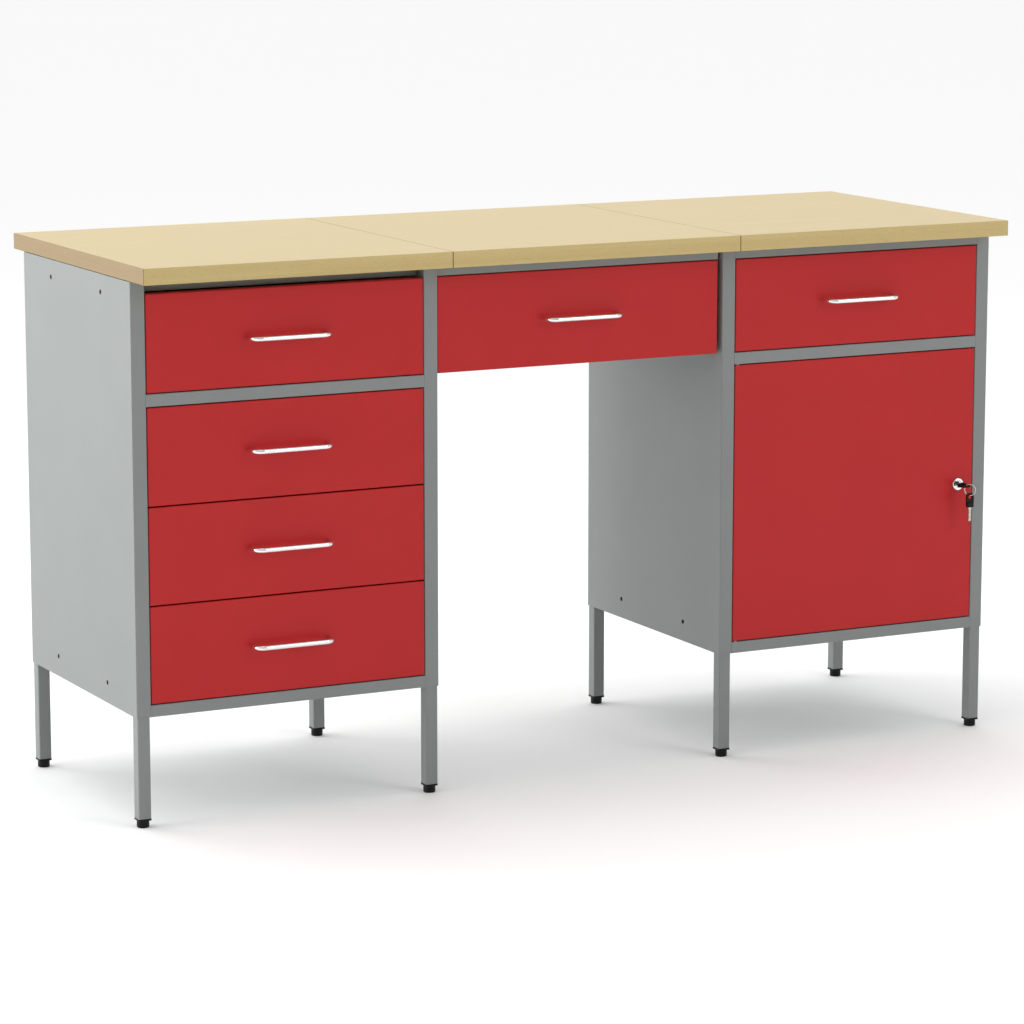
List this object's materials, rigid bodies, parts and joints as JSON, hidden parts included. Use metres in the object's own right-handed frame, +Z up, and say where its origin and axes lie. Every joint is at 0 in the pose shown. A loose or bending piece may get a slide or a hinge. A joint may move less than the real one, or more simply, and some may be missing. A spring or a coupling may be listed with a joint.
{
  "type": "workbench with drawers",
  "caption": "Steel workbench with a wooden top: drawer cabinet at the left, drawer over a lockable door at the right, and a drawer over the knee space.",
  "frame": {"origin": "on the floor, under the middle of the worktop", "axes": "+X along the bench to the right, +Y from the front to the back, +Z up"},
  "size_m": [1.5, 0.55, 0.85],
  "materials": {
    "beech_boards": "clear lacquer",
    "black_plastic": "moulded",
    "key_plastic": "moulded",
    "chrome": "polished",
    "steel": "nickel plated",
    "red_paint": "powder coat, satin",
    "grey_paint": "powder coat, satin"
  },
  "bodies": {
    "bench": {"door_pivot_lower": "steel", "door_pivot_upper": "steel", "knee_drawer_housing": "grey_paint", "left_floor": "grey_paint", "left_foot_back_left": "black_plastic", "left_foot_back_right": "black_plastic", "left_foot_front_left": "black_plastic", "left_foot_front_right": "black_plastic", "left_leg_back_left": "grey_paint", "left_leg_back_right": "grey_paint", "left_leg_front_left": "grey_paint", "left_leg_front_right": "grey_paint", "left_mid_rail": "grey_paint", "left_runner_panel_left": "grey_paint", "left_runner_panel_right": "grey_paint", "left_shell": "grey_paint", "left_top": "grey_paint", "right_floor": "grey_paint", "right_foot_back_left": "black_plastic", "right_foot_back_right": "black_plastic", "right_foot_front_left": "black_plastic", "right_foot_front_right": "black_plastic", "right_leg_back_left": "grey_paint", "right_leg_back_right": "grey_paint", "right_leg_front_left": "grey_paint", "right_leg_front_right": "grey_paint", "right_mid_rail": "grey_paint", "right_runner_panel_left": "grey_paint", "right_runner_panel_right": "grey_paint", "right_shell": "grey_paint", "right_top": "grey_paint", "shelf": "grey_paint", "worktop_left": "beech_boards", "worktop_middle": "beech_boards", "worktop_right": "beech_boards"},
    "left_drawer_top": {"left_drawer_top_front": "red_paint", "left_drawer_top_tray": "grey_paint", "left_drawer_top_handle": "chrome"},
    "left_drawer_upper": {"left_drawer_upper_front": "red_paint", "left_drawer_upper_tray": "grey_paint", "left_drawer_upper_handle": "chrome"},
    "left_drawer_lower": {"left_drawer_lower_front": "red_paint", "left_drawer_lower_tray": "grey_paint", "left_drawer_lower_handle": "chrome"},
    "left_drawer_bottom": {"left_drawer_bottom_front": "red_paint", "left_drawer_bottom_tray": "grey_paint", "left_drawer_bottom_handle": "chrome"},
    "knee_drawer": {"knee_drawer_front": "red_paint", "knee_drawer_tray": "grey_paint", "knee_drawer_handle": "chrome"},
    "right_drawer": {"right_drawer_front": "red_paint", "right_drawer_tray": "grey_paint", "right_drawer_handle": "chrome"},
    "door": {"door": "red_paint", "lock_barrel": "chrome"},
    "lock_turn": {"lock_plug": "chrome", "lock_cam": "steel", "key": "key_plastic"},
    "key_ring": {"key_ring": "steel"},
    "spare_key": {"spare_key": "key_plastic"}
  },
  "joints": [
    {"name": "left_drawer_top_slide", "type": "slide", "parent": "bench", "child": "left_drawer_top", "axis": [0, -1, 0], "range_m": [0, 0.3]},
    {"name": "left_drawer_upper_slide", "type": "slide", "parent": "bench", "child": "left_drawer_upper", "axis": [0, -1, 0], "range_m": [0, 0.3]},
    {"name": "left_drawer_lower_slide", "type": "slide", "parent": "bench", "child": "left_drawer_lower", "axis": [0, -1, 0], "range_m": [0, 0.3]},
    {"name": "left_drawer_bottom_slide", "type": "slide", "parent": "bench", "child": "left_drawer_bottom", "axis": [0, -1, 0], "range_m": [0, 0.3]},
    {"name": "knee_drawer_slide", "type": "slide", "parent": "bench", "child": "knee_drawer", "axis": [0, -1, 0], "range_m": [0, 0.3]},
    {"name": "right_drawer_slide", "type": "slide", "parent": "bench", "child": "right_drawer", "axis": [0, -1, 0], "range_m": [0, 0.3]},
    {"name": "door_hinge", "type": "hinge", "parent": "bench", "child": "door", "pos_m": [0.2801, -0.2164, 0.413], "axis": [0, 0, -1], "range_deg": [0, 110]},
    {"name": "lock_turn", "type": "hinge", "parent": "door", "child": "lock_turn", "pos_m": [0.6979, -0.22, 0.413], "axis": [0, -1, 0], "range_deg": [0, 90]},
    {"name": "ring_turn", "type": "hinge", "parent": "lock_turn", "child": "key_ring", "pos_m": [0.70233, -0.25088, 0.4074], "axis": [0.7986, 0.6018, 0], "range_deg": [-25, 25]},
    {"name": "spare_key_swing", "type": "hinge", "parent": "key_ring", "child": "spare_key", "pos_m": [0.70233, -0.25088, 0.39815], "axis": [0.6018, -0.7986, 0], "range_deg": [-20, 20]}
  ]
}
